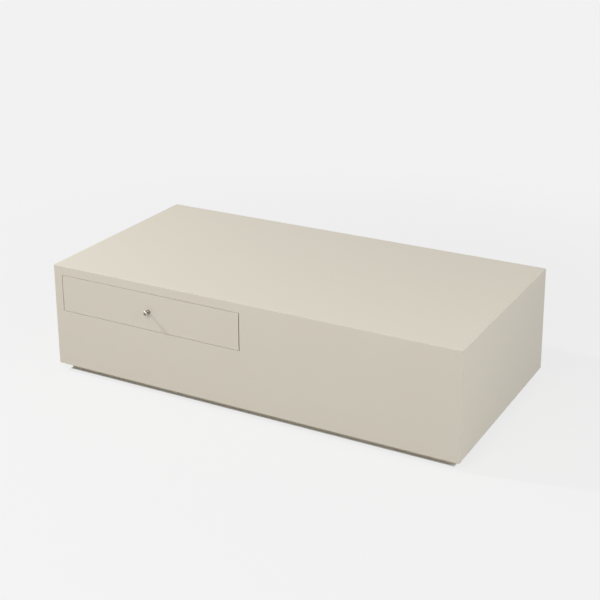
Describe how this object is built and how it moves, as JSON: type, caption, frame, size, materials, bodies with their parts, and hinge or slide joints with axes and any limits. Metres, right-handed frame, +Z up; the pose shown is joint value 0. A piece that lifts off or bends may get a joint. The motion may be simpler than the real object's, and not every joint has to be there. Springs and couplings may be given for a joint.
{
  "type": "coffee table",
  "caption": "Low rectangular coffee table in cream lacquer on a recessed plinth, with a flush drawer on ball-bearing runners and a small knob.",
  "frame": {"origin": "on the floor at the middle of the bounding box, which takes in the knob", "axes": "+X along the table's length, to the right as seen from the drawer's side; +Y to the back; +Z up. The drawer opens along -Y."},
  "size_m": [1.2, 0.617, 0.315],
  "materials": {
    "lacquer": "cream satin lacquer over fibreboard",
    "plinth_lacquer": "satin lacquer over fibreboard, a shade darker",
    "board": "plain fibreboard, unseen inside",
    "birch": "clear satin lacquer over birch",
    "zinc_steel": "zinc plated, satin",
    "ball_steel": "polished balls in a plain cage",
    "screw_steel": "zinc plated",
    "nickel": "polished nickel",
    "lever_plastic": "black, moulded",
    "glide_felt": "pressed felt pads"
  },
  "bodies": {
    "case": {"top_panel": "lacquer", "left_end_panel": "lacquer", "right_end_panel": "lacquer", "front_panel": "lacquer", "back_panel": "lacquer", "drawer_partition": "board", "bottom_panel": "board", "drawer_shelf": "board", "support_rib": "board", "plinth_front_rail": "plinth_lacquer", "plinth_back_rail": "plinth_lacquer", "plinth_left_rail": "plinth_lacquer", "plinth_right_rail": "plinth_lacquer", "plinth_centre_rail": "board", "front_left_glue_block": "board", "back_left_glue_block": "board", "front_right_glue_block": "board", "back_right_glue_block": "board", "front_left_glide": "glide_felt", "back_left_glide": "glide_felt", "front_centre_glide": "glide_felt", "back_centre_glide": "glide_felt", "front_right_glide": "glide_felt", "back_right_glide": "glide_felt", "left_cabinet_runner": "zinc_steel", "left_cabinet_screw_1": "screw_steel", "left_cabinet_screw_2": "screw_steel", "left_cabinet_screw_3": "screw_steel", "right_cabinet_runner": "zinc_steel", "right_cabinet_screw_1": "screw_steel", "right_cabinet_screw_2": "screw_steel", "right_cabinet_screw_3": "screw_steel"},
    "drawer": {"drawer_front": "lacquer", "drawer_left_side": "birch", "drawer_right_side": "birch", "drawer_inner_front": "birch", "drawer_back": "birch", "drawer_bottom": "birch", "drawer_knob": "nickel", "knob_washer": "screw_steel", "knob_bolt": "screw_steel", "left_front_screw": "screw_steel", "right_front_screw": "screw_steel", "left_drawer_runner": "zinc_steel", "left_release_lever": "lever_plastic", "left_drawer_screw_1": "screw_steel", "left_drawer_screw_2": "screw_steel", "left_drawer_screw_3": "screw_steel", "right_drawer_runner": "zinc_steel", "right_release_lever": "lever_plastic", "right_drawer_screw_1": "screw_steel", "right_drawer_screw_2": "screw_steel", "right_drawer_screw_3": "screw_steel"},
    "left_outer_ball_cage": {"left_outer_ball_cage": "ball_steel"},
    "left_middle_runner": {"left_middle_runner": "zinc_steel"},
    "left_inner_ball_cage": {"left_inner_ball_cage": "ball_steel"},
    "right_outer_ball_cage": {"right_outer_ball_cage": "ball_steel"},
    "right_middle_runner": {"right_middle_runner": "zinc_steel"},
    "right_inner_ball_cage": {"right_inner_ball_cage": "ball_steel"}
  },
  "joints": [
    {"name": "drawer_slide", "type": "slide", "parent": "case", "child": "drawer", "axis": [0, -1, 0], "range_m": [0, 0.45]},
    {"name": "left_outer_cage_slide", "type": "slide", "parent": "case", "child": "left_outer_ball_cage", "axis": [0, -1, 0], "range_m": [0, 0.1125]},
    {"name": "left_middle_slide", "type": "slide", "parent": "case", "child": "left_middle_runner", "axis": [0, -1, 0], "range_m": [0, 0.225]},
    {"name": "left_inner_cage_slide", "type": "slide", "parent": "case", "child": "left_inner_ball_cage", "axis": [0, -1, 0], "range_m": [0, 0.3375]},
    {"name": "right_outer_cage_slide", "type": "slide", "parent": "case", "child": "right_outer_ball_cage", "axis": [0, -1, 0], "range_m": [0, 0.1125]},
    {"name": "right_middle_slide", "type": "slide", "parent": "case", "child": "right_middle_runner", "axis": [0, -1, 0], "range_m": [0, 0.225]},
    {"name": "right_inner_cage_slide", "type": "slide", "parent": "case", "child": "right_inner_ball_cage", "axis": [0, -1, 0], "range_m": [0, 0.3375]}
  ],
  "couplings": [
    {"joint": "left_outer_cage_slide", "follows": "drawer_slide", "ratio": 0.25},
    {"joint": "left_middle_slide", "follows": "drawer_slide", "ratio": 0.5},
    {"joint": "left_inner_cage_slide", "follows": "drawer_slide", "ratio": 0.75},
    {"joint": "right_outer_cage_slide", "follows": "drawer_slide", "ratio": 0.25},
    {"joint": "right_middle_slide", "follows": "drawer_slide", "ratio": 0.5},
    {"joint": "right_inner_cage_slide", "follows": "drawer_slide", "ratio": 0.75}
  ]
}
